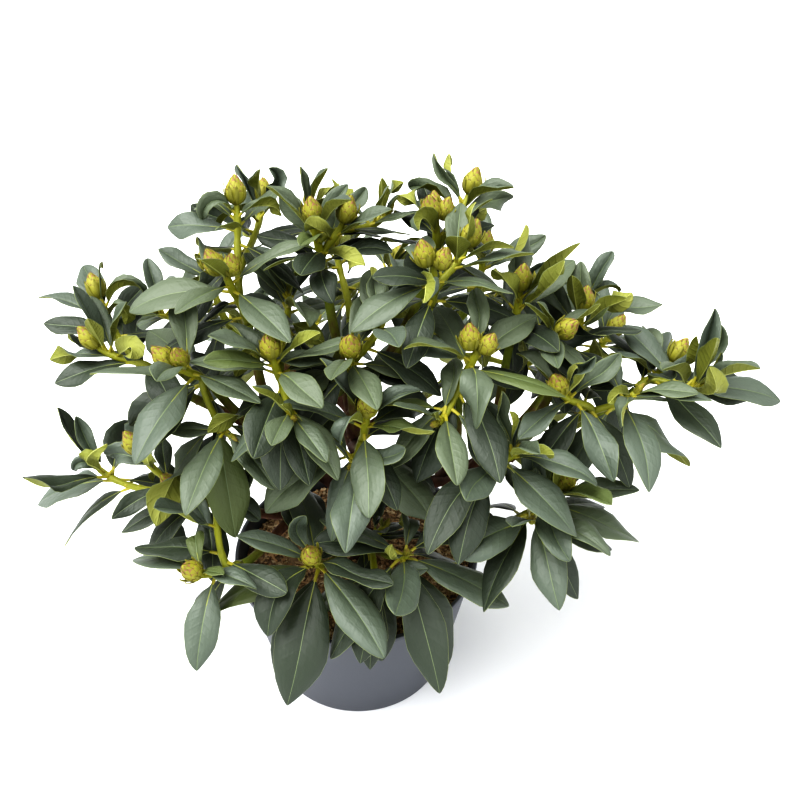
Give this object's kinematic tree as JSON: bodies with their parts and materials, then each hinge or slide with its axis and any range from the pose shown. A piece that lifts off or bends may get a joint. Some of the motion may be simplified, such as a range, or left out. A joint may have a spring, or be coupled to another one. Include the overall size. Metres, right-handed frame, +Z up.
{
  "type": "potted rhododendron",
  "caption": "Broad evergreen shrub in bud, with whorls of long leathery leaves on arching boughs, growing in a plain round nursery container.",
  "frame": {"origin": "centre of the container's flat underside", "axes": "+Z up; +X to the right and +Y to the back, as seen from the plant's front"},
  "size_m": [0.7844, 0.5651, 0.6068],
  "materials": {
    "pot": "slate grey moulded polypropylene, satin",
    "soil": "brown bark and peat mulch, rough and slightly damp",
    "bark": "thin reddish-brown bark, finely flaking, dull",
    "foliage": "leathery dark green leaves with a waxy sheen, yellow-green shoots and buds"
  },
  "bodies": {
    "root": {"pot": "pot", "soil": "soil", "trunk": "bark", "bough_left_tip": "bark", "bough_left_shoulder": "bark", "bough_centre": "bark", "bough_right_low": "bark", "bough_inner_front": "bark", "bough_back_mid": "bark", "bough_far_front_left": "bark", "bough_left_wing": "bark", "bough_left_top": "bark", "bough_front_left_high": "bark", "bough_top_mid": "bark", "bough_right_top": "bark", "bough_front_centre": "bark", "bough_top_right": "bark", "bough_right_front": "bark", "bough_right_shoulder": "bark", "bough_right_high": "bark", "bough_right_tip": "bark", "bough_right_inner": "bark", "bough_low_front_left": "bark", "bough_low_front_right": "bark", "bough_low_right": "bark", "bough_back_left": "bark", "bough_back_right": "bark", "bough_back_low_left": "bark", "bough_back_low_right": "bark", "bough_back_far_right": "bark", "mass_left_tip": "foliage", "mass_left_shoulder": "foliage", "mass_centre": "foliage", "mass_right_low": "foliage", "mass_inner_front": "foliage", "mass_back_mid": "foliage", "mass_far_front_left": "foliage", "mass_left_wing": "foliage", "mass_left_top": "foliage", "mass_front_left_high": "foliage", "mass_top_mid": "foliage", "mass_right_top": "foliage", "mass_front_centre": "foliage", "mass_top_right": "foliage", "mass_right_front": "foliage", "mass_right_shoulder": "foliage", "mass_right_high": "foliage", "mass_right_tip": "foliage", "mass_right_inner": "foliage", "mass_low_front_left": "foliage", "mass_low_front_right": "foliage", "mass_low_right": "foliage", "mass_back_left": "foliage", "mass_back_right": "foliage", "mass_back_low_left": "foliage", "mass_back_low_right": "foliage", "mass_back_far_right": "foliage"}
  },
  "joints": []
}
